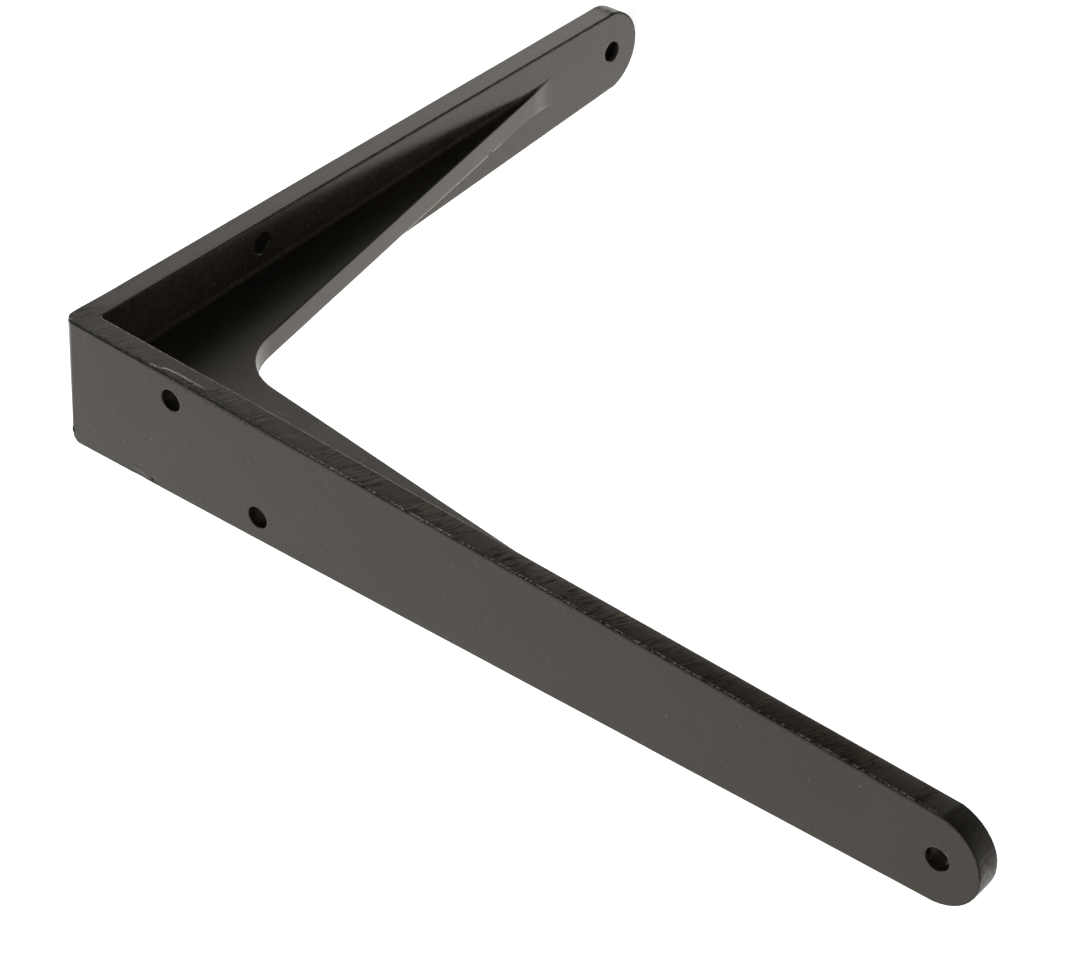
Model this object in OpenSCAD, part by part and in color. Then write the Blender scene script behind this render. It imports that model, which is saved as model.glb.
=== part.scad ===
// Cast shelf bracket: two flat tapered arms at a right angle, with round tips,
// stiffened by one central web whose free edge is cut back in a rounded notch.
// The origin is the sharp outer corner, midway across the width.
// The wall face is x = 0, the shelf face is z = 0, and Y runs across the width.

/* [Arms] */
// Length of the shelf arm, from the wall face to its tip
shelf_arm = 250; // [200:1:300]
// Length of the wall arm, from the shelf face to its tip
wall_arm = 200; // [160:1:250]
// Width of both arms at the corner
corner_w = 36; // [32:0.5:40]
// Width of both arms where their round tips begin
tip_w = 22.9; // [18:0.1:22.9]
// Radius of the round tips
tip_r = 11.5; // [11.5:0.1:12.5]
// Thickness of both arms
arm_t = 6; // [5:0.1:7]
// Radius of the outer corner
outer_r = 2; // [1:0.1:4]
// Radius of the corner between the inner faces of the arms
inner_r = 1; // [0.5:0.1:4]

/* [Web] */
// Thickness of the web
web_t = 6.1; // [4:0.1:7]
// Distance from each arm's tip back to where the web meets the arm
web_short = 37.5; // [30:0.5:45]
// Distance from the wall face to the point where the web's two edges would cross
notch_x = 28.3; // [24:0.1:32]
// Distance below the shelf face of that same point
notch_z = 26.4; // [24:0.1:32]
// Radius of the notch
notch_r = 16; // [8:0.5:22]
// Radius of the blend where each edge of the web runs out into its arm
runout_r = 40; // [40:5:90]
// Radius of the fillet along the foot of the web
foot_r = 1; // [0.5:0.1:2.5]

/* [Holes] */
// Diameter of the screw holes
hole_d = 5.5; // [4:0.1:6.5]
// Distance from the corner to the first hole of each arm
hole_first = 33.5; // [28:0.5:38]
// Distance from the corner to the second hole of each arm
hole_second = 58.5; // [50:0.5:66]
// Distance from the tip to the tip hole of each arm
hole_tip = 10; // [8:0.5:12]
// Distance from the arm's long edge to the centre of the first and second holes
hole_edge = 6.5; // [5:0.25:7]

/* [Hidden] */
$fn = 96;
corner_h = corner_w / 2;
web_h = web_t / 2;
over = 1;
paint = [0.27, 0.265, 0.255];
// Corners of the web's free edge, as [across from the wall, down from the shelf]
NOTCH = [notch_x, notch_z];
SHELF_END = [shelf_arm - web_short, arm_t];
WALL_END = [arm_t, wall_arm - web_short];

// How fast half the width falls along each arm
shelf_slope = (corner_w - tip_w) / 2 / (shelf_arm - tip_r);
wall_slope = (corner_w - tip_w) / 2 / (wall_arm - tip_r);

// Screw holes of one arm, as [along it, across it]: the pair near the corner sits on
// opposite sides of the web, and side says where the first of them goes
function hole_places(arm, slope, side) = [
    [hole_first, side * (corner_h - hole_first * slope - hole_edge)],
    [hole_second, -side * (corner_h - hole_second * slope - hole_edge)],
    [arm - hole_tip, 0]
];

function unit(v) = v / norm(v);

// Fills the corner at p, between the ways to q and s, out to a round of radius r.
// Its root lies a little behind the corner, so that it joins or cuts cleanly.
module round_fill(p, q, s, r) {
    u = unit(q - p);
    v = unit(s - p);
    middle = unit(u + v);
    half = acos(u * v) / 2;
    reach = r / tan(half);
    centre = p + middle * r / sin(half);
    difference() {
        polygon([p - middle * over, p + u * reach, centre, p + v * reach]);
        translate(centre)
            circle(r = r, $fn = 240);
    }
}

// Side view of the two arms as one L: x away from the wall, y down from the shelf
module side_outline() {
    difference() {
        union() {
            square([shelf_arm, arm_t]);
            square([arm_t, wall_arm]);
            round_fill([arm_t, arm_t], [shelf_arm, arm_t], [arm_t, wall_arm], inner_r);
        }
        round_fill([0, 0], [1, 0], [0, 1], outer_r);
    }
}

// Side view of the web, down to the outer corner of the arms
module web_outline() {
    polygon([
        [arm_t / 2, arm_t / 2],
        [SHELF_END[0], arm_t / 2],
        SHELF_END,
        NOTCH,
        WALL_END,
        [arm_t / 2, WALL_END[1]]
    ]);
    round_fill(NOTCH, SHELF_END, WALL_END, notch_r);
    round_fill(SHELF_END, NOTCH, [shelf_arm, arm_t], runout_r);
    round_fill(WALL_END, NOTCH, [arm_t, wall_arm], runout_r);
}

// Stands a side view up in the XZ plane, with the given thickness across Y
module upright(thickness) {
    rotate([-90, 0, 0])
        translate([0, 0, -thickness / 2])
            linear_extrude(thickness)
                children();
}

// Plan of an arm with its round tip, still as wide as the corner up to the tip
module tip_outline(arm) {
    translate([0, -corner_h])
        square([arm - tip_r, corner_w]);
    translate([arm - tip_r, 0])
        circle(r = tip_r);
}

// What lies beyond one side of the bracket, whose narrow faces share one sloping plane
module beyond_side() {
    normal = [shelf_slope, 1, -wall_slope];
    span = shelf_arm + wall_arm;
    translate([0, corner_h, 0])
        rotate(a = acos(1 / norm(normal)), v = cross([0, 1, 0], normal))
            translate([-span, 0, -span])
                cube([2 * span, corner_h, 2 * span]);
}

// Both arms: the L, with its tips rounded and its sides cut to the taper
module arms() {
    difference() {
        intersection() {
            upright(corner_w)
                side_outline();
            translate([0, 0, -wall_arm])
                linear_extrude(wall_arm)
                    tip_outline(shelf_arm);
            rotate([0, 90, 0])
                linear_extrude(shelf_arm)
                    tip_outline(wall_arm);
        }
        beyond_side();
        mirror([0, 1, 0])
            beyond_side();
    }
}

// Section of the fillets on both sides of the web: x across, y away from the arm
module foot_section() {
    for (side = [-1, 1])
        round_fill([side * web_h, 0], [side * corner_w, 0], [side * web_h, 1], foot_r);
}

// Fillets along the foot of the web, no higher than its free edge
module foot_fillets() {
    intersection() {
        upright(web_t + 2 * foot_r)
            web_outline();
        union() {
            translate([shelf_arm - over, 0, -arm_t])
                rotate([0, -90, 0])
                    rotate([0, 0, 90])
                        linear_extrude(shelf_arm - arm_t)
                            foot_section();
            translate([arm_t, 0, -arm_t])
                rotate([180, 0, 90])
                    linear_extrude(wall_arm - arm_t)
                        foot_section();
        }
    }
}

// One cylinder per screw hole of an arm that lies flat with its outer face at z = 0
module hole_cutters(places) {
    for (p = places)
        translate([p[0], p[1], -arm_t - over])
            cylinder(d = hole_d, h = arm_t + 2 * over);
}

module bracket() {
    color(paint)
        difference() {
            union() {
                arms();
                upright(web_t)
                    web_outline();
                foot_fillets();
            }
            hole_cutters(hole_places(shelf_arm, shelf_slope, 1));
            rotate([0, 90, 0])
                mirror([0, 0, 1])
                    hole_cutters(hole_places(wall_arm, wall_slope, -1));
        }
}

bracket();
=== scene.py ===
import math

import bmesh
import bpy
from mathutils import Matrix, Vector, noise


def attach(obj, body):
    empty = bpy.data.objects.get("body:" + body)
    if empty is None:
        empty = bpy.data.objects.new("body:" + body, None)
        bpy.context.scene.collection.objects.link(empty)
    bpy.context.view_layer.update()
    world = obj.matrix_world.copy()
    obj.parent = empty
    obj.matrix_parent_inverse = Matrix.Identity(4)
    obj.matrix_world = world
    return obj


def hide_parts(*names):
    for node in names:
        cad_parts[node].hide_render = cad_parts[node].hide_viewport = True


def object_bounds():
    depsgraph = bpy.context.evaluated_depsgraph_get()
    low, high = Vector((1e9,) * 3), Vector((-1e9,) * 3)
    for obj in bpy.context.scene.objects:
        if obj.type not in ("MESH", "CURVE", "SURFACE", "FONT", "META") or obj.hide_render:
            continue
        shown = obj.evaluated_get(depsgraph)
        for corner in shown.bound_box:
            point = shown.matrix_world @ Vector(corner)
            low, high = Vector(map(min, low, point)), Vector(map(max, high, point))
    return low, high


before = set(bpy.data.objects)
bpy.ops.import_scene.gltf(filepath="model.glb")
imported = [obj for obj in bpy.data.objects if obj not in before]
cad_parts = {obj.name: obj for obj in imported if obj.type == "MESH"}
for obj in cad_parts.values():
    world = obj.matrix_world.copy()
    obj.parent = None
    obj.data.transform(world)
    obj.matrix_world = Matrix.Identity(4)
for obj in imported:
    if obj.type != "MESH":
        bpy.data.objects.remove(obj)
cad_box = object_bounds()

MM = 0.001

# Sizes of the casting in millimetres, in the frame of the CAD part, which gives its reach.
# Its box is a little narrower than the sharp corner, from which the sides' taper is reckoned.
SHELF_ARM = round(cad_box[1].x / MM, 3)
WALL_ARM = round(-cad_box[0].z / MM, 3)
HALF_WIDTH = 18.0
HALF_AT_TIPS = 11.45
ARM_THICKNESS = 6.0
WEB_HALF = 3.05
CORNER_RADIUS = 2.0
TIP_RADIUS = 11.5
SHELF_TIP_X = SHELF_ARM - TIP_RADIUS
WALL_TIP_Z = TIP_RADIUS - WALL_ARM
SHELF_TAPER = (HALF_WIDTH - HALF_AT_TIPS) / SHELF_TIP_X
WALL_TAPER = (HALF_WIDTH - HALF_AT_TIPS) / -WALL_TIP_Z
HOLE_RADIUS = 2.75
HOLES_FROM_CORNER = (33.5, 58.5)
HOLE_FROM_TIP = 10.0
HOLE_FROM_EDGE = 6.5

# How wide the edges are worn, and the least angle at which one wears.
ARM_ARRIS = 0.26
WEB_ARRIS = 0.4
HOLE_RIM = 0.3
SHARPEST = math.radians(25)
# How far off an edge, a face or an arm a point may be and still count as on it.
EDGE_SLACK = 0.02
FACE_SLACK = 0.04
ARM_SLACK = 0.1
# The faces are cut into cells of this size, from the first cuts in x, y and z to the last.
CELL = 2.0
FIRST_CUTS = (0.37, -17.2, -199.6)
LAST_CUTS = (SHELF_ARM, 17.4, 0.0)
# Runs of a worn edge longer than this are cut crosswise this many times.
LONG_RUN = 0.9
CROSS_CUTS = 3

# A cast face wanders, over these lengths by these heights, and less beside a hole.
SWELLS = ((26, 0.035), (5, 0.012))
SWELL_BY_HOLES = 0.3
# So does a worn edge, by these shares of a burr.
BURR = 0.04
BURR_WAVES = ((1.7, 0.5), (4.5, 0.8))
# What lies this near the arms' outline belongs to a ground side.
SIDE_SKIN = 0.6
# The shelf arm's ground sides fall away toward its inner face: from which depth, how far,
# between which places along the arm this sets in, and the cuts that carry it.
SHOULDER_FROM = 3.4
SHOULDER = 0.15
SHOULDER_STARTS = (100, 145)
SHOULDER_CUTS = (3.8, 4.4, 5.0, 5.5)
# The wall arm's ground sides lean: how much lower they are beside the wall, and from
# which depth under the shelf face.
LEAN = 0.19
LEAN_STARTS = (5, 16)
# The shelf arm is a little fatter than its straight taper.
FATTER = 0.2
FATTER_STARTS = (5, 45)
# The outer corner's radius halfway across, and how much it gains toward +Y.
CORNER_MIDDLE_RADIUS = 1.6
CORNER_GAIN = 1.4
CORNER_LEAST_RADIUS = 0.4
# The corner leans out toward its -Y end: how far, how far either side of the middle that
# starts and ends, and over what lengths of the two arms it fades.
CORNER_LEAN = 1.3
CORNER_LEAN_HALF = 15
CORNER_REACH = 7.0
CORNER_DOWN = 60.0

# The flake on the ground side: its inner line as (x, z), how proud it stands, how far
# above that line it rises, where it rises and ends along the arm, and the box that is cut
# finely for it (middle, half its size, cell).
FLAKE = ((20.0, -0.4), (22.3, -0.6), (25.6, -1.0), (29.4, -1.05), (31.0, -2.0),
         (34.8, -2.4), (40.5, -2.3), (46.0, -2.7), (52.0, -2.9))
FLAKE_HEIGHT = 0.13
FLAKE_FOOT = (-0.05, 0.28)
FLAKE_RISES = (26, 29)
FLAKE_ENDS = (40, 44)
FLAKE_BOX = ((35.0, 16.8, -1.7), (17.0, 0.6, 1.7), 0.25)
# Its crest is rubbed bright: how far above the line, how wide, how far along the arm, and
# how long the patches are.
CREST = 0.08
CREST_HALF = 0.2
CREST_DULLS = (38, 47)
CREST_PATCH = 2.2

# Knocks: middle, half the size, how far the surface is pushed, and how dark the shade painted
# into it is.
KNOCKS = (
    ((20.6, -16.8, 0.0), (3.0, 1.2, 0.6), (0.0, 0.0, -0.12), 0.3),
    ((24.8, -16.2, 0.0), (0.5, 0.45, 0.5), (0.0, 0.0, -0.3), 1.0),
    ((10.2, -WEB_HALF, -136.0), (1.3, 1.0, 1.3), (-0.25, 0.25, 0.0), 1.0),
    ((0.0, -14.4, 0.0), (1.3, 1.2, 1.3), (-0.1, 0.0, 0.1), 1.0),
    ((-0.4, -18.4, 0.0), (2.2, 2.4, 2.2), (0.2, 0.7, -0.1), 0.3),
    ((0.6, 17.8, -0.6), (1.3, 0.8, 1.3), (0.1, -0.2, -0.1), 0.8),
)
KNOCK_CELL = 0.3
# The share of a knock's size that is pushed in fully, and how far inside its rims a bore
# of the wall arm is painted dark as shade.
KNOCK_FLAT = 0.35
RIM_CLEAR = 0.5

# The paint, and what it turns to: browner where the sides were ground, greyer where light is
# painted onto the web's sides.
PAINT = (0.026, 0.021, 0.0145)
GROUND_TINT = (1.2, 0.98, 0.86)
WEB_PAINTED_LIGHT_TINT = (0.9, 1.02, 1.35)
GLOSS_TINT = (1.0, 0.925, 0.79, 1.0)
# Bare metal, which also gives the painted highlights, and the dark of dirt and painted shade.
BARE_METAL_AND_HIGHLIGHT = (0.5, 0.47, 0.43, 1.0)
DIRT_AND_SHADE = (0.004, 0.003, 0.003, 1.0)
# That dark without gloss, for painted shade in hollows and for some dirt.
MATT_SHADE_AND_DIRT = (0.012, 0.01, 0.009, 1.0)
# How much lighter the web's sides and the other inner faces are painted, as painted light
# where light falls on them.
WEB_PAINTED_LIGHT = 8.5
INSIDE_PAINTED_LIGHT = 1.1
# The marks of grinding: how far they lean from the arm's thickness, and how their pattern
# is squeezed lengthwise and across the arm.
MARKS_LEAN = math.radians(24)
MARKS_STRETCH = 0.1
MARKS_ACROSS = 0.2
# Cells for specks per millimetre, the relief's height in millimetres and its strength, and
# how much deeper than that a dent is.
SPECKS_PER_MM = 0.42
RELIEF = 0.03
RELIEF_STRENGTH = 0.5
DENT_DEPTH = 2.2

# The white room: its strength level with the bracket, what it loses from there to straight
# up, and the share it loses toward +X, unless that is toward -Y too.
ROOM_STRENGTH = 1.39
ROOM_FALL = 0.58
ROOM_DIMMED = 0.92
DIMMED_FROM_X = (0.5, 0.75)
DIMMED_FROM_Y = (-0.65, -0.35)

# The floor, in metres: half its size and its gap under the bracket.
FLOOR_HALF = 4.0
FLOOR_GAP = 0.0005
FLOOR_GREY = 0.8
FLOOR_GLOW = 0.85

# The dark card over the bracket, in metres: its height, its edges, and where it fades
# in: across x, and across x * CARD_SLANT + z.
CARD_Y = 0.6
CARD_LEFT, CARD_RIGHT, CARD_LOW, CARD_HIGH = -1.7, 2.5, -2.5, 2.5
CARD_LEFT_FADE = (-1.5, -0.25)
CARD_LOW_FADE = (-1.75, -1.2)
CARD_SLANT = 1.2
CARD_GREY = 0.02

# The camera: its azimuth, elevation and roll in degrees, its lens and sensor in
# millimetres, and the point it looks at and its distance from it in metres.
CAMERA_ANGLES = (40.214, 38.942, -0.473)
CAMERA_LENS = 109.96
CAMERA_SENSOR = 36.0
CAMERA_AIM = (0.107109, 0.0, -0.039776)
CAMERA_DISTANCE = 0.725335


# ---------------------------------------------------------------- the casting


def hole_places(arm, taper, side):
    """One arm's screw holes as (along it, across it), the pair on either side of the web."""
    first, second = HOLES_FROM_CORNER
    return (
        (first, side * (HALF_WIDTH - first * taper - HOLE_FROM_EDGE)),
        (second, -side * (HALF_WIDTH - second * taper - HOLE_FROM_EDGE)),
        (arm - HOLE_FROM_TIP, 0.0),
    )


SHELF_HOLES = hole_places(SHELF_ARM, SHELF_TAPER, 1)
WALL_HOLES = hole_places(WALL_ARM, WALL_TAPER, -1)


def side_reach(x, z):
    """Half the width between the two ground side planes, in millimetres."""
    return HALF_WIDTH - SHELF_TAPER * x + WALL_TAPER * z


def contour_depth(co):
    """How far inside the outline of the two arms, seen along the arms' thickness."""
    depth = side_reach(co.x, co.z) - abs(co.y)
    if co.x > SHELF_TIP_X:
        depth = min(depth, TIP_RADIUS - math.hypot(co.x - SHELF_TIP_X, co.y))
    if co.z < WALL_TIP_Z:
        depth = min(depth, TIP_RADIUS - math.hypot(co.z - WALL_TIP_Z, co.y))
    return depth


def outer_depth(co):
    """How far under the two faces that meet the wall and the shelf."""
    return min(-co.z, co.x)


def inner_depth(co):
    """How far under the inner faces of the arms; below zero is the web."""
    return max(ARM_THICKNESS - co.x, co.z + ARM_THICKNESS)


def on_shelf_arm(co):
    """Whether a point lies no lower than the shelf arm's inner face."""
    return co.z >= -ARM_THICKNESS - ARM_SLACK


def by_a_hole(co):
    """Whether a point lies on the wall or the rim of a screw hole."""
    near = HOLE_RADIUS + ARM_SLACK
    if on_shelf_arm(co):
        if any(math.hypot(co.x - x, co.y - y) < near for x, y in SHELF_HOLES):
            return True
    if co.x < ARM_THICKNESS + ARM_SLACK:
        return any(math.hypot(-co.z - down, co.y - y) < near for down, y in WALL_HOLES)
    return False


def in_a_wall_bore(co):
    """Whether a point lies in a screw hole of the wall arm, clear of both its rims."""
    clear = RIM_CLEAR < outer_depth(co) < ARM_THICKNESS - RIM_CLEAR
    return clear and by_a_hole(co) and not on_shelf_arm(co)


def on_arris(co):
    """Whether a point lies on a rounded long edge of an arm."""
    strip = ARM_ARRIS + EDGE_SLACK
    if contour_depth(co) > strip:
        return False
    return outer_depth(co) < strip or -EDGE_SLACK < inner_depth(co) < strip


def welded_copy(node):
    """The node's loose triangles as one closed mesh of whole faces, in millimetres."""
    bm = bmesh.new()
    bm.from_mesh(node.data)
    bmesh.ops.remove_doubles(bm, verts=bm.verts, dist=1e-6)
    bmesh.ops.dissolve_limit(
        bm, angle_limit=math.radians(0.2), verts=bm.verts, edges=bm.edges
    )
    bmesh.ops.scale(bm, vec=(1 / MM,) * 3, verts=bm.verts)
    return bm


def ease_corner(bm):
    """The outer corner is rounder at its +Y end than at its -Y end."""
    for v in bm.verts:
        x, y, z = v.co
        if x > CORNER_RADIUS + 1e-3 or z < -CORNER_RADIUS - 1e-3:
            continue
        spoke = Vector((x - CORNER_RADIUS, z + CORNER_RADIUS))
        if abs(spoke.length - CORNER_RADIUS) > EDGE_SLACK:
            continue
        radius = max(CORNER_LEAST_RADIUS, CORNER_MIDDLE_RADIUS + CORNER_GAIN * y / HALF_WIDTH)
        spoke *= radius / CORNER_RADIUS
        v.co.x = radius + spoke.x
        v.co.z = -radius + spoke.y


def weigh_arrises(bm):
    """Sets how wide each outward edge is worn, as a share of the widest, which it gives."""
    layer = bm.edges.layers.float.new("bevel_weight_edge")
    widest = max(ARM_ARRIS, WEB_ARRIS)
    for e in bm.edges:
        if e.calc_face_angle_signed() < SHARPEST:
            continue
        middle = (e.verts[0].co + e.verts[1].co) / 2
        if by_a_hole(middle):
            width = HOLE_RIM
        elif middle.x > ARM_THICKNESS and middle.z < -ARM_THICKNESS:
            width = WEB_ARRIS
        else:
            width = ARM_ARRIS
        e[layer] = width / widest
    return widest


def with_worn_arrises(bm):
    """The same casting with every outward edge rounded over, as a new bmesh."""
    widest = weigh_arrises(bm)
    mesh = bpy.data.meshes.new("sharp_casting")
    bm.to_mesh(mesh)
    bm.free()
    sharp = bpy.data.objects.new("sharp_casting", mesh)
    bpy.context.scene.collection.objects.link(sharp)
    worn = sharp.modifiers.new("worn_arrises", "BEVEL")
    worn.limit_method = "WEIGHT"
    worn.offset_type = "OFFSET"
    worn.width = widest
    worn.segments = 3
    worn.use_clamp_overlap = False
    depsgraph = bpy.context.evaluated_depsgraph_get()
    rounded = bpy.data.meshes.new_from_object(sharp.evaluated_get(depsgraph))
    bpy.data.objects.remove(sharp)
    bm = bmesh.new()
    bm.from_mesh(rounded)
    return bm


def cut(bm, faces, axis, place):
    """One plane cut across the given faces; gives the faces after it."""
    point, normal = Vector(), Vector()
    point[axis], normal[axis] = place, 1.0
    edges = {e for f in faces for e in f.edges}
    verts = {v for e in edges for v in e.verts}
    made = bmesh.ops.bisect_plane(
        bm,
        geom=[*verts, *edges, *faces],
        dist=1e-4,
        plane_co=point,
        plane_no=normal,
    )
    return [g for g in made["geom"] if isinstance(g, bmesh.types.BMFace)]


def cut_all_over(bm, step):
    """Cuts the whole casting into cells, so that its faces can wander a little."""
    for axis in range(3):
        place = FIRST_CUTS[axis]
        while place < LAST_CUTS[axis]:
            cut(bm, bm.faces[:], axis, place)
            place += step
    for depth in SHOULDER_CUTS:
        cut(bm, bm.faces[:], 2, -depth)


def cut_finely(bm, middle, half, step):
    """Small cells where a mark goes, in a box given by its middle and half its size."""
    faces = []
    for f in bm.faces:
        spans = zip(*(v.co for v in f.verts))
        near = zip(spans, middle, half)
        if all(min(s) <= m + h and max(s) >= m - h for s, m, h in near):
            faces.append(f)
    for axis in range(3):
        place = middle[axis] - half[axis] + step / 2
        while place < middle[axis] + half[axis]:
            faces = cut(bm, faces, axis, place)
            place += step


def cut_arrises(bm):
    """Cuts the long edges' rounded strips crosswise, for their burrs."""
    runs = []
    for e in bm.edges:
        first, second = e.verts[0].co, e.verts[1].co
        if e.calc_length() > LONG_RUN and on_arris(first) and on_arris(second):
            runs.append(e)
    bmesh.ops.subdivide_edges(bm, edges=runs, cuts=CROSS_CUTS, use_grid_fill=True)


# ---------------------------------------------------------------- casting marks, wear and painted shade


def ease(value, start, end):
    """0 before start, 1 after end, smooth between."""
    share = max(0.0, min(1.0, (value - start) / (end - start)))
    return share * share * (3 - 2 * share)


def along(points, at):
    """The height at one place of a line through the given points."""
    for (x0, h0), (x1, h1) in zip(points, points[1:]):
        if x0 <= at <= x1:
            return h0 + (h1 - h0) * (at - x0) / (x1 - x0)
    return points[0][1] if at < points[0][0] else points[-1][1]


def scoop(co, middle, half):
    """1 at the middle of an ellipsoid, 0 at its rim and outside."""
    reach = sum(((c - m) / h) ** 2 for c, m, h in zip(co, middle, half))
    return 1 - ease(math.sqrt(reach), KNOCK_FLAT, 1.0)


def swell(co):
    """How far a cast face wanders from its plane."""
    wander = sum(height * noise.noise(co / length) for length, height in SWELLS)
    return wander * SWELL_BY_HOLES if by_a_hole(co) else wander


def arris_way(co, normal):
    """The way an edge's points may move, so that the faces beside it stay flat."""
    if contour_depth(co) < FACE_SLACK:
        return Vector((0, 0, 1)) if on_shelf_arm(co) else Vector((1, 0, 0))
    if outer_depth(co) < FACE_SLACK or abs(inner_depth(co)) < FACE_SLACK:
        return Vector((0, 1, 0))
    return normal


def burr(co, normal):
    """How a worn edge wanders, most on the +Y side's outer edges."""
    rough = sum(noise.noise(co / length) * share for length, share in BURR_WAVES)
    most = co.y > 0 and outer_depth(co) < ARM_ARRIS + EDGE_SLACK
    return arris_way(co, normal) * rough * (BURR if most else BURR / 2)


def shoulder_drop(co):
    """How far the shelf arm's ground sides fall away beside its inner face."""
    past = (outer_depth(co) - SHOULDER_FROM) / (ARM_THICKNESS - SHOULDER_FROM)
    return SHOULDER * max(0.0, min(1.0, past)) ** 2 * ease(co.x, *SHOULDER_STARTS)


def side_shift(co):
    """How far the ground sides stand out from the plane sides of the CAD part."""
    if on_shelf_arm(co):
        return FATTER * ease(co.x, *FATTER_STARTS) - shoulder_drop(co)
    across = max(0.0, min(1.0, 1 - co.x / ARM_THICKNESS))
    return -LEAN * across * ease(-co.z, *LEAN_STARTS)


def over_flake_line(co):
    """How far a point lies above the flake's inner line."""
    return co.z - along(FLAKE, co.x)


def flake_height(co):
    """How proud the flake stands on the +Y ground side, beside the outer edge."""
    if co.y < 0:
        return 0.0
    ends = ease(co.x, *FLAKE_RISES) * (1 - ease(co.x, *FLAKE_ENDS))
    return FLAKE_HEIGHT * ease(over_flake_line(co), *FLAKE_FOOT) * ends


def flake_light(co):
    """How brightly the flake's crest is rubbed."""
    shows = ease(co.x, *FLAKE_RISES) * (1 - ease(co.x, *CREST_DULLS))
    shows *= ease(noise.noise(co / CREST_PATCH), -0.6, 0.3)
    return shows * scoop((over_flake_line(co), 0, 0), (CREST, 0, 0), (CREST_HALF, 1, 1))


def corner_lean(co):
    """How far the outer corner leans out over the wall face."""
    leaning = max(0.0, min(1.0, (CORNER_LEAN_HALF - co.y) / (2 * CORNER_LEAN_HALF)))
    near_corner = scoop((co.x, 0, co.z), (0, 0, 0), (CORNER_REACH, 1, CORNER_DOWN))
    return CORNER_LEAN * leaning * near_corner


def cast_and_wear(bm):
    """Moves the points as casting, grinding and knocks leave them; marks wear and painted
    shade.
    """
    bm.normal_update()
    bright = bm.verts.layers.float.new("bright_wear")
    dark = bm.verts.layers.float.new("painted_hollow_shade")
    moves = []
    for v in bm.verts:
        co = v.co.copy()
        move = v.normal * swell(co)
        if on_arris(co):
            move += burr(co, v.normal)
        if contour_depth(co) < SIDE_SKIN:
            move.y += side_shift(co) * math.copysign(1.0, co.y)
            height = flake_height(co)
            move += Vector((0, height, 0))
            if height > 0:
                v[bright] = flake_light(co)
        move.x -= corner_lean(co)
        # Painted shade: each knock's hollow is painted dark by its shade.
        for middle, half, push, shade in KNOCKS:
            share = scoop(co, middle, half)
            move += Vector(push) * share
            v[dark] = max(v[dark], share * shade)
        # Painted shade: the wall arm's bores are painted dark.
        if in_a_wall_bore(co):
            v[dark] = 1.0
        moves.append(move)
    for v, move in zip(bm.verts, moves):
        v.co += move


def casting():
    """The bracket as it was cast, ground and knocked about."""
    bm = welded_copy(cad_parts["bracket"])
    ease_corner(bm)
    bm = with_worn_arrises(bm)
    cut_all_over(bm, CELL)
    cut_arrises(bm)
    cut_finely(bm, *FLAKE_BOX)
    for middle, half, *_ in KNOCKS:
        cut_finely(bm, middle, half, KNOCK_CELL)
    cast_and_wear(bm)
    bmesh.ops.scale(bm, vec=(MM,) * 3, verts=bm.verts)
    mesh = bpy.data.meshes.new("bracket_casting")
    bm.to_mesh(mesh)
    bm.free()
    for polygon in mesh.polygons:
        polygon.use_smooth = True
    mesh.set_sharp_from_angle(angle=math.radians(45))
    piece = bpy.data.objects.new("bracket_casting", mesh)
    bpy.context.scene.collection.objects.link(piece)
    weighted = piece.modifiers.new("flat_faces_stay_flat", "WEIGHTED_NORMAL")
    weighted.keep_sharp = True
    weighted.weight = 100
    return piece


# ---------------------------------------------------------------- the finish


class Field:
    """A shader socket that takes part in Python expressions."""

    def __init__(self, finish, socket):
        self.finish = finish
        self.socket = socket

    def maths(self, operation, *values):
        sockets = dict(enumerate(values))
        return self.finish.node("Math", {"operation": operation}, sockets)

    def __add__(self, other):
        return self.maths("ADD", self, other)

    def __sub__(self, other):
        return self.maths("SUBTRACT", self, other)

    def __rsub__(self, other):
        return self.maths("SUBTRACT", other, self)

    def __mul__(self, other):
        return self.maths("MULTIPLY", self, other)

    __radd__ = __add__
    __rmul__ = __mul__

    def least(self, other):
        return self.maths("MINIMUM", self, other)

    def most(self, other):
        return self.maths("MAXIMUM", self, other)

    def size(self):
        return self.maths("ABSOLUTE", self)

    def root(self):
        return self.maths("SQRT", self)

    def ease(self, start, end, low=0.0, high=1.0):
        """Smoothly from low at start to high at end."""
        sockets = {0: self, 1: start, 2: end, 3: low, 4: high}
        return self.finish.node("MapRange", {"interpolation_type": "SMOOTHSTEP"}, sockets)


class Finish:
    """The nodes of one material, or of the world."""

    def __init__(self, owner):
        owner.use_nodes = True
        self.owner = owner
        self.tree = owner.node_tree
        self.tree.nodes.clear()

    def node(self, kind, settings=None, sockets=None, out=0):
        """A new node: its settings, then its sockets; gives one of its outputs."""
        made = self.tree.nodes.new("ShaderNode" + kind)
        for name, value in (settings or {}).items():
            setattr(made, name, value)
        for key, value in (sockets or {}).items():
            if isinstance(value, Field):
                self.tree.links.new(value.socket, made.inputs[key])
            else:
                made.inputs[key].default_value = value
        return Field(self, made.outputs[out]) if made.outputs else None

    def mix(self, share, first, second):
        """One colour over another."""
        sockets = {0: share, 6: first, 7: second}
        return self.node("Mix", {"data_type": "RGBA"}, sockets, out=2)

    def tinted(self, colour, tint):
        """A colour with each of its three parts scaled by the tint's."""
        return self.node("VectorMath", {"operation": "MULTIPLY"}, {0: colour, 1: tint})

    def scaled(self, vector, share):
        """A vector or colour times one number."""
        return self.node("VectorMath", {"operation": "SCALE"}, {0: vector, "Scale": share})

    def axes(self, vector):
        """The three numbers of a vector."""
        return [self.node("SeparateXYZ", None, {0: vector}, out=axis) for axis in range(3)]

    def noise(self, where, scale, detail=2.0, roughness=0.5):
        sockets = {"Vector": where, "Scale": scale, "Detail": detail, "Roughness": roughness}
        return self.node("TexNoise", None, sockets)

    def wear_and_shade(self, name):
        """A mark that the casting's own points carry: rubbed wear, and painted shade."""
        return self.node("Attribute", {"attribute_name": name}, out=2)


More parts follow.
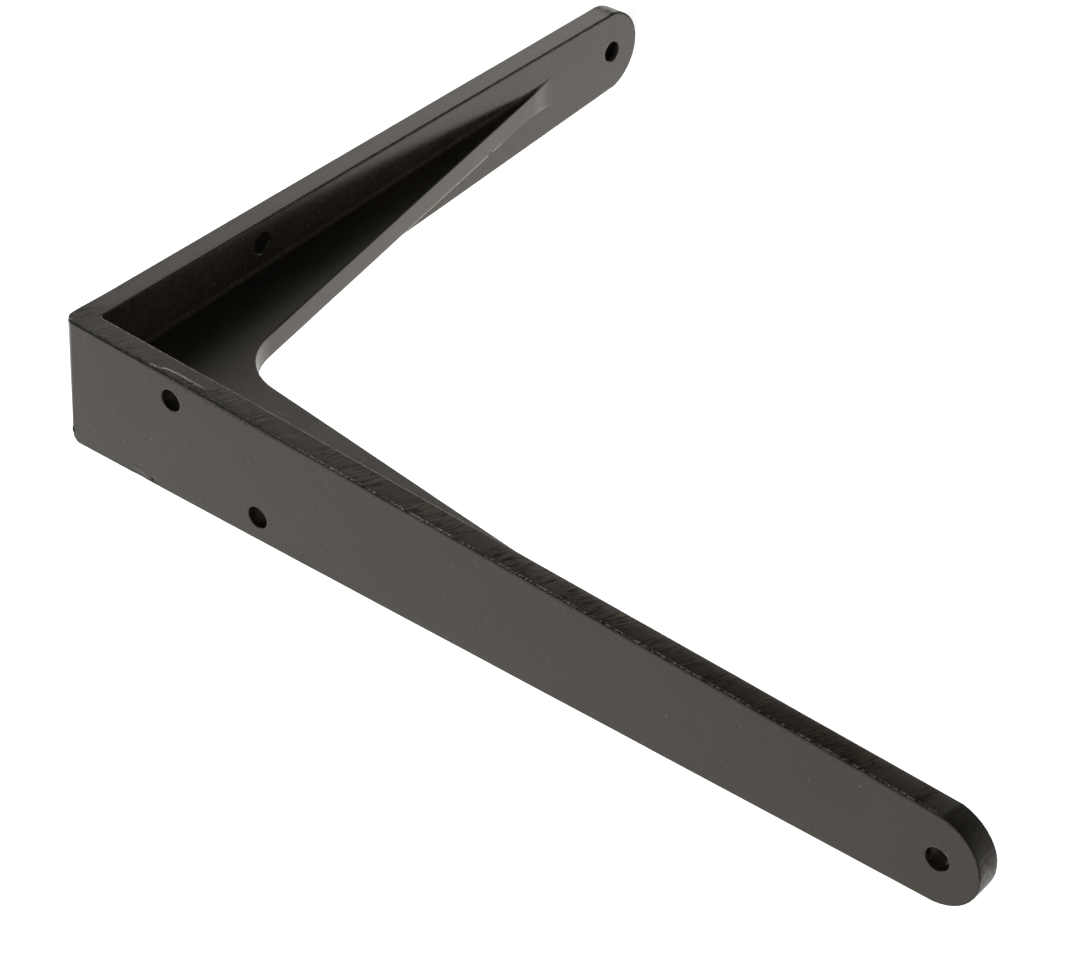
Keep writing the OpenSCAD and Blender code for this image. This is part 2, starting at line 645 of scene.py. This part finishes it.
class Zones:
    """The parts of the casting's surface: depths in millimetres, and masks from 0 to 1."""

    def __init__(self, f):
        self.place = f.scaled(f.node("TexCoord", out=3), 1 / MM)
        x, y, z = f.axes(self.place)
        self.x, self.y, self.z = x, y, z

        # The depth under the outline of the arms, as in contour_depth().
        side = x * -SHELF_TAPER + z * WALL_TAPER + HALF_WIDTH - y.size()
        shelf_end = (x - SHELF_TIP_X).most(0.0)
        wall_end = (z * -1.0 + WALL_TIP_Z).most(0.0)
        shelf_tip = TIP_RADIUS - (shelf_end * shelf_end + y * y).root()
        wall_tip = TIP_RADIUS - (wall_end * wall_end + y * y).root()
        shelf_tip = shelf_tip + shelf_end.ease(0.0, 0.5, 20.0, 0.0)
        wall_tip = wall_tip + wall_end.ease(0.0, 0.5, 20.0, 0.0)
        self.contour = side.least(shelf_tip).least(wall_tip)
        self.inner = (ARM_THICKNESS - x).most(z + ARM_THICKNESS)
        self.outer = x.least(z * -1.0)

        self.on_arms = self.inner.ease(-0.6, -0.1)
        self.plus_side = y.ease(0.0, 1.0)
        self.shelf_strip = z.ease(-8.0, -6.5)
        shelf_round = x.ease(SHELF_TIP_X - 5.0, SHELF_TIP_X + 4.0)
        self.tips = shelf_round.most(z.ease(WALL_TIP_Z + 1.0, WALL_TIP_Z - 3.0))
        self.edge_side = self.contour.ease(0.5, 0.2) * self.on_arms
        self.ground = self.edge_side * (1.0 - self.tips)
        self.end_round = self.edge_side * self.tips
        self.web_side = self.inner.ease(-0.3, -1.5) * y.size().ease(2.6, 2.9)
        self.open_web_side = self.web_side * x.ease(22.0, 50.0)


class GrindingMarks:
    """Scratches across the ground sides, a little aslant, and bold on the shelf arm only."""

    def __init__(self, f, at):
        across = at.x * math.cos(MARKS_LEAN) + at.z * math.sin(MARKS_LEAN)
        length = at.x * math.sin(MARKS_LEAN) - at.z * math.cos(MARKS_LEAN)
        sockets = {0: across, 1: length * MARKS_STRETCH, 2: at.y * MARKS_ACROSS}
        place = f.node("CombineXYZ", None, sockets)
        groups = f.noise(place, 0.22, 2.0, 0.5)
        self.grain = f.noise(place, 2.1, 3.0, 0.6)
        self.swing = self.grain.ease(0.35, 0.65) - 0.5

        # They are bold in groups, most beside the outer edge, and faint between. Both
        # weaken toward the tip.
        outer_part = at.outer.ease(6.4, 3.4, 0.25, 1.0)
        bold = groups.ease(0.34, 0.62) * outer_part * at.shelf_strip
        self.bold = bold * at.x.ease(130.0, 190.0, 1.0, 0.35)
        self.faint = at.x.ease(70.0, 180.0, 1.0, 0.2)

        # A few long scratches are lighter than the rest.
        scratch = 1.0 + self.swing * (self.bold * 1.1 + self.faint * 0.35)
        long_ones = f.noise(place, 0.9, 1.0, 0.4).ease(0.56, 0.66) * groups.ease(0.5, 0.62)
        self.tone = scratch + long_ones * 0.5 * at.shelf_strip


class WornEdges:
    """Painted highlights and shadows along the burrs of the outer edges, and the lines along
    the inner ones and the web's.
    """

    def __init__(self, f, at):
        contour, outer, inner = at.contour, at.outer, at.inner
        coarse = f.noise(at.place, 1.3, 3.0, 0.6)
        fine = f.noise(at.place, 2.1, 2.0, 0.5)

        # The lip of a burr gets a painted highlight, and a painted shadow lies beside it.
        lip = contour.ease(0.4, 0.25) * outer.ease(0.1, 0.2) * outer.ease(0.75, 0.5)
        lip = lip * coarse.ease(0.46, 0.6) * fine.ease(0.35, 0.5, 0.4, 1.0)
        self.lip_highlight = lip * at.x.ease(44.0, 75.0, 0.1, 1.0) * (1.0 - at.tips)
        lip_shadow = contour.ease(0.02, 0.1) * contour.ease(0.5, 0.3) * outer.ease(0.12, 0.05)
        lip_shadow = lip_shadow * fine.ease(0.35, 0.5, 0.2, 1.0) * at.plus_side

        # From the corner to some way past the flake, that painted shadow is ragged, so the
        # edge looks bitten.
        ragged = (coarse - 0.5) * at.x.ease(28.0, 36.0, 2.5, 8.0) + 0.35
        bites = (contour + outer * 0.7 - ragged).ease(0.1, -0.15) * at.on_arms
        bites = bites * at.shelf_strip * at.x.ease(85.0, 55.0) * at.plus_side
        self.painted_lip_shadow = lip_shadow.most(bites)

        # The shelf arm's inner edge is rubbed bright near the corner.
        shelf_line = contour.ease(0.35, 0.2) * inner.ease(0.5, 0.3) * at.on_arms
        shelf_line = shelf_line * at.x.ease(5.8, 7.0) * at.x.ease(150.0, 95.0)
        self.shelf_line = shelf_line * at.shelf_strip * coarse.ease(0.35, 0.5)

        # The +Y side's inner edges are darker, most of all far down the wall arm, and the
        # web's
        # -Y edge is rubbed bright.
        wall_line = contour.ease(0.7, 0.5) * inner.ease(0.6, 0.4) * at.on_arms * at.plus_side
        wall_line = wall_line * at.z.ease(-6.0, -110.0, 0.5, 1.0)
        self.wall_line = wall_line * fine.ease(0.38, 0.52, 0.2, 1.0)
        web_line = at.y.ease(-2.55, -2.68) * at.y.ease(-3.0, -2.92) * inner.ease(-0.6, -1.5)
        web_line = web_line * at.z.ease(-84.0, -96.0) * at.z.ease(-143.0, -140.0)
        self.web_line = web_line * fine.ease(0.3, 0.5, 0.4, 1.0)


class Specks:
    """Small dents and specks on the faces, one in some of the cells."""

    def __init__(self, f, at):
        cell = {"Vector": at.place, "Scale": SPECKS_PER_MM}
        spot = f.node("TexVoronoi", None, cell)
        draw = f.node("SeparateColor", None, {0: f.node("TexVoronoi", None, cell, out=1)})
        outer_faces = at.outer.ease(1.0, 0.5)
        speck = spot.ease(0.12, 0.05) * (1.0 - at.edge_side) * outer_faces
        dented = draw.ease(0.5, 0.55) * draw.ease(0.74, 0.7)
        self.dent = spot.ease(0.36, 0.05) * dented * outer_faces
        self.light = speck * draw.ease(0.9, 0.92)
        self.dark = speck * draw.ease(0.3, 0.28)


def black_paint():
    """Satin black over a sand casting whose long sides were ground flat."""
    f = Finish(bpy.data.materials.new("satin_black_paint"))
    at = Zones(f)
    marks = GrindingMarks(f, at)
    edges = WornEdges(f, at)
    specks = Specks(f, at)
    cloud = f.noise(at.place, 0.05, 3.0, 0.55)
    mottle = f.noise(at.place, 0.6, 4.0, 0.6)
    stipple = f.noise(at.place, 1.5, 3.0, 0.6)
    bright = f.wear_and_shade("bright_wear")
    dark = f.wear_and_shade("painted_hollow_shade")

    # How strong the paint's colour is.
    tone = cloud.ease(0.3, 0.7, 0.86, 1.14) * mottle.ease(0.3, 0.7, 0.92, 1.08)
    strength = tone * (1.0 - at.ground) + tone * marks.tone.most(0.2) * at.ground
    # Painted light: the web's sides past the notch and the other inner faces are painted
    # lighter, standing in for the light that falls on them.
    strength = strength * (1.0 + at.web_side * at.x.ease(20.0, 50.0) * WEB_PAINTED_LIGHT)
    inside = at.outer.ease(1.0, 3.0) * (1.0 - at.web_side)
    strength = strength * (1.0 + inside * INSIDE_PAINTED_LIGHT)
    strength = strength * (1.0 - at.ground * at.shelf_strip * at.x.ease(60.0, 5.0) * 0.5)
    strength = strength * (1.0 - at.end_round * stipple.ease(0.3, 0.7, 0.1, 0.6))
    paint = f.scaled(PAINT, strength)
    paint = f.mix(at.ground, paint, f.tinted(paint, GROUND_TINT))
    # The painted light on the web's sides is greyer.
    paint = f.mix(at.open_web_side, paint, f.tinted(paint, WEB_PAINTED_LIGHT_TINT))

    # Bare metal where it is rubbed through, plus painted highlights; specks and painted shade.
    bare_and_highlight = (bright * 0.7).most(edges.web_line).most(specks.light * 0.35)
    bare_and_highlight = bare_and_highlight.most(edges.lip_highlight).most(edges.shelf_line * 0.7)
    dirt_and_shade = (dark * 0.8).most(specks.dark * 0.7).most(edges.painted_lip_shadow * 0.75)
    dirt_and_shade = dirt_and_shade.most(edges.wall_line * 0.8)
    colour = f.mix(dirt_and_shade, f.mix(bare_and_highlight, paint, BARE_METAL_AND_HIGHLIGHT), DIRT_AND_SHADE)

    # The gloss of the faces, of the ground strips with a duller patch near the shelf
    # arm's tip, and of the round ends.
    face = mottle.ease(0.3, 0.7, 0.23, 0.28) + at.inner.ease(-0.3, -1.0) * 0.15
    face = face + at.open_web_side * 0.15
    strip = 0.24 + at.shelf_strip * at.x.ease(120.0, 220.0, 0.08, 0.03)
    strip = strip + marks.swing * (marks.bold * 0.26 + marks.faint * 0.06)
    patch = f.noise(at.place, 0.22, 3.0, 0.65).ease(0.46, 0.56)
    strip = strip + patch * at.x.ease(216.0, 230.0) * at.x.ease(243.0, 238.0) * 0.1
    roughness = face * (1.0 - at.edge_side) + strip * at.ground
    roughness = roughness + at.end_round * mottle.ease(0.3, 0.7, 0.4, 0.65) + dirt_and_shade * 0.35

    height = stipple * (1.0 - at.ground) * at.outer.ease(1.0, 3.0, 0.55, 0.05)
    height = height + marks.grain * at.ground * (marks.bold * 1.7 + marks.faint * 0.5)
    height = height - specks.dent * DENT_DEPTH - specks.dark + specks.light
    height = height + edges.lip_highlight - edges.painted_lip_shadow
    sockets = {"Strength": RELIEF_STRENGTH, "Distance": RELIEF * MM, "Height": height}
    skin = f.node(
        "BsdfPrincipled",
        None,
        {
            "Base Color": colour,
            "Roughness": roughness,
            "Metallic": bare_and_highlight * 0.5,
            "Specular Tint": GLOSS_TINT,
            "Normal": f.node("Bump", None, sockets),
        },
    )

    # Painted shade: deep knocks and the wall arm's bores get a dark matt paint with hardly any
    # gloss, and the other dark marks some of it.
    matt_shade_and_dirt = f.node("BsdfDiffuse", None, {"Color": MATT_SHADE_AND_DIRT})
    deep = dark.ease(0.2, 0.7, 0.0, 0.92).most(dirt_and_shade * 0.3)
    surface = f.node("MixShader", None, {0: deep, 1: skin, 2: matt_shade_and_dirt})
    f.node("OutputMaterial", None, {"Surface": surface})
    return f.owner


# ---------------------------------------------------------------- the room


def flat_sheet(name, corners):
    """A four-cornered sheet of the room, which isn't part of the object."""
    mesh = bpy.data.meshes.new(name)
    mesh.from_pydata(corners, [], [(0, 1, 2, 3)])
    sheet = bpy.data.objects.new(name, mesh)
    bpy.context.scene.collection.objects.link(sheet)
    return sheet


def white_world():
    """White all round, stronger from below, and dimmed toward +X."""
    world = bpy.data.worlds.new("white_room")
    bpy.context.scene.world = world
    f = Finish(world)
    x, y, z = f.axes(f.node("TexCoord"))
    seen = f.node("LightPath")
    dimmer = 1.0 - x.ease(*DIMMED_FROM_X) * y.ease(*DIMMED_FROM_Y) * ROOM_DIMMED
    strength = seen + (1.0 - seen) * (ROOM_STRENGTH - z * ROOM_FALL) * dimmer
    white = f.node("Background", None, {"Color": (1, 1, 1, 1), "Strength": strength})
    f.node("OutputWorld", None, {"Surface": white})
    world.cycles.sampling_method = "NONE"


def floor():
    """A pale floor under the bracket, which glows only where it is looked at."""
    height = cad_box[0].z - FLOOR_GAP
    ways = ((-1, -1), (1, -1), (1, 1), (-1, 1))
    plane = flat_sheet("floor", [(x * FLOOR_HALF, y * FLOOR_HALF, height) for x, y in ways])
    f = Finish(bpy.data.materials.new("pale_floor"))
    seen = f.node("LightPath", out=0) + f.node("LightPath", out=3) + f.node("LightPath", out=6)
    matt = f.node("BsdfDiffuse", None, {"Color": (FLOOR_GREY, FLOOR_GREY, FLOOR_GREY, 1)})
    glow = f.node("Emission", None, {"Color": (1, 1, 1, 1), "Strength": FLOOR_GLOW})
    lit = f.node("AddShader", None, {0: matt, 1: glow})
    surface = f.node("MixShader", None, {0: seen.least(1.0), 1: matt, 2: lit})
    f.node("OutputMaterial", None, {"Surface": surface})
    f.owner.cycles.emission_sampling = "NONE"
    plane.data.materials.append(f.owner)
    plane.visible_glossy = False


def shade_card():
    """A dark card over the +Y side, which keeps the ground edges and the pockets dark."""
    left, right, low, high = CARD_LEFT, CARD_RIGHT, CARD_LOW, CARD_HIGH
    corners = ((left, low), (right, low), (right, high), (left, high))
    card = flat_sheet("shade_card", [(x, CARD_Y, z) for x, z in corners])
    f = Finish(bpy.data.materials.new("dark_card"))
    x, _, z = f.axes(f.node("TexCoord", out=3))
    cover = x.ease(*CARD_LEFT_FADE) * (x * CARD_SLANT + z).ease(*CARD_LOW_FADE)
    gap = f.node("BsdfTransparent")
    cloth = f.node("BsdfDiffuse", None, {"Color": (CARD_GREY, CARD_GREY, CARD_GREY, 1)})
    surface = f.node("MixShader", None, {0: cover, 1: gap, 2: cloth})
    f.node("OutputMaterial", None, {"Surface": surface})
    card.data.materials.append(f.owner)
    card.visible_camera = False
    card.visible_shadow = False


def camera():
    """Looks at the bracket from +X, +Y and +Z, with the +Y side up."""
    azimuth, elevation, roll = map(math.radians, CAMERA_ANGLES)
    back = Vector(
        (
            math.sin(azimuth) * math.cos(elevation),
            math.sin(elevation),
            math.cos(azimuth) * math.cos(elevation),
        )
    )
    right = (-back).cross(Vector((0, 1, 0))).normalized()
    up = right.cross(-back)
    across = right * math.cos(roll) + up * math.sin(roll)
    upward = up * math.cos(roll) - right * math.sin(roll)
    data = bpy.data.cameras.new("camera")
    data.sensor_width = CAMERA_SENSOR
    data.lens = CAMERA_LENS
    eye = bpy.data.objects.new("camera", data)
    turn = Matrix((across, upward, back)).transposed().to_4x4()
    place = Vector(CAMERA_AIM) + back * CAMERA_DISTANCE
    eye.matrix_world = Matrix.Translation(place) @ turn
    bpy.context.scene.collection.objects.link(eye)
    bpy.context.scene.camera = eye


bpy.context.scene.view_settings.view_transform = "Standard"
white_world()
floor()
shade_card()
camera()

bracket = casting()
bracket.data.materials.clear()
bracket.data.materials.append(black_paint())
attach(bracket, "root")
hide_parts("bracket")
